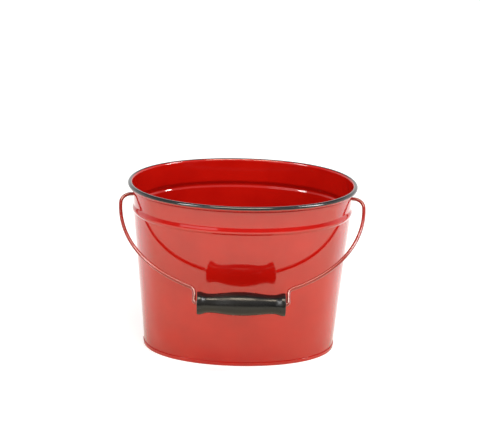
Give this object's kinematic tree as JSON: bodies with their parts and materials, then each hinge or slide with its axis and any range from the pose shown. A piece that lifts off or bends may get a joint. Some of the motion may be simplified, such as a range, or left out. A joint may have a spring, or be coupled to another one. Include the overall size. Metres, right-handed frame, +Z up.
{
  "type": "wash bucket",
  "caption": "Oval tapered sheet steel bucket with a wired rim, a swaged rib, a seamed bottom and a swinging wire bail that carries a turned grip.",
  "frame": {"origin": "middle of the footprint of the whole part at rest, bail included, on the surface that it stands on", "axes": "+Z up, X along the oval's long axis and the bail's pivot axis, -Y towards the side that the bail hangs on"},
  "size_m": [0.3224, 0.2256, 0.235],
  "materials": {
    "wall_enamel": "red vitreous enamel on steel sheet, high gloss, with the outside of the rolled rim enamelled black",
    "pan_enamel": "red vitreous enamel on steel sheet, high gloss",
    "rim_wire_steel": "bare drawn steel wire, closed in by the rolled rim",
    "bail_enamel": "red enamel paint on steel wire, gloss",
    "grip_lacquer": "turned wood, black lacquer, satin"
  },
  "bodies": {
    "bucket": {"bucket_wall": "wall_enamel", "bottom_pan": "pan_enamel", "rim_wire": "rim_wire_steel"},
    "bail": {"bail_wire": "bail_enamel"},
    "grip": {"handle_grip": "grip_lacquer"}
  },
  "joints": [
    {"name": "bail_swing", "type": "hinge", "parent": "bucket", "child": "bail", "pos_m": [0, 0.01679, 0.214], "axis": [-1, 0, 0], "range_deg": [-11, 273]},
    {"name": "grip_spin", "type": "hinge", "parent": "bail", "child": "grip", "pos_m": [0, -0.09869, 0.11362], "axis": [1, 0, 0], "continuous": true}
  ]
}
